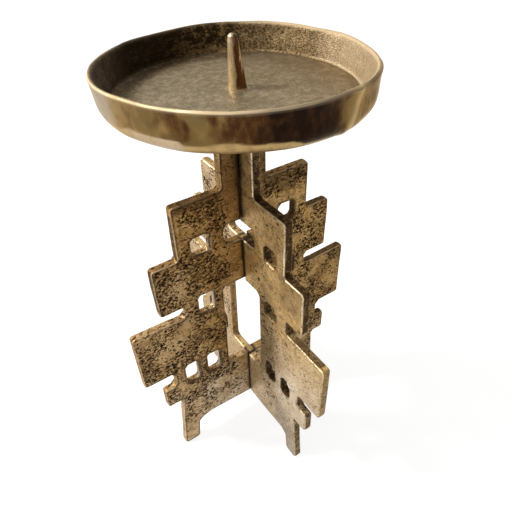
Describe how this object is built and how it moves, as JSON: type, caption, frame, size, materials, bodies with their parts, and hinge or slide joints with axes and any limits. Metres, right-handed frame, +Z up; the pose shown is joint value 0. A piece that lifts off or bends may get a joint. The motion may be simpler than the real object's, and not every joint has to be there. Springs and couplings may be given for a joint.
{
  "type": "pricket candle stand",
  "caption": "Free-standing metal candle stand: crossed stepped plates with square holes carry a round drip dish with a central spike for a pillar candle.",
  "frame": {"origin": "on the floor plane under the spike, on the upright line where the two plates cross", "axes": "+Z up along the spike, +X along the long plate, +Y along the cross plate"},
  "size_m": [0.1224, 0.1224, 0.2111],
  "materials": {
    "cast_plate": "aged cast bronze, pitted faces darkened, edges and ends rubbed bright",
    "cast_dish": "aged cast bronze, polished outside with a patchy patina, satin turned floor",
    "turned_spike": "worn smooth bronze"
  },
  "bodies": {
    "root": {"long_plate": "cast_plate", "cross_plate": "cast_plate", "drip_dish": "cast_dish", "pricket": "turned_spike"}
  },
  "joints": []
}
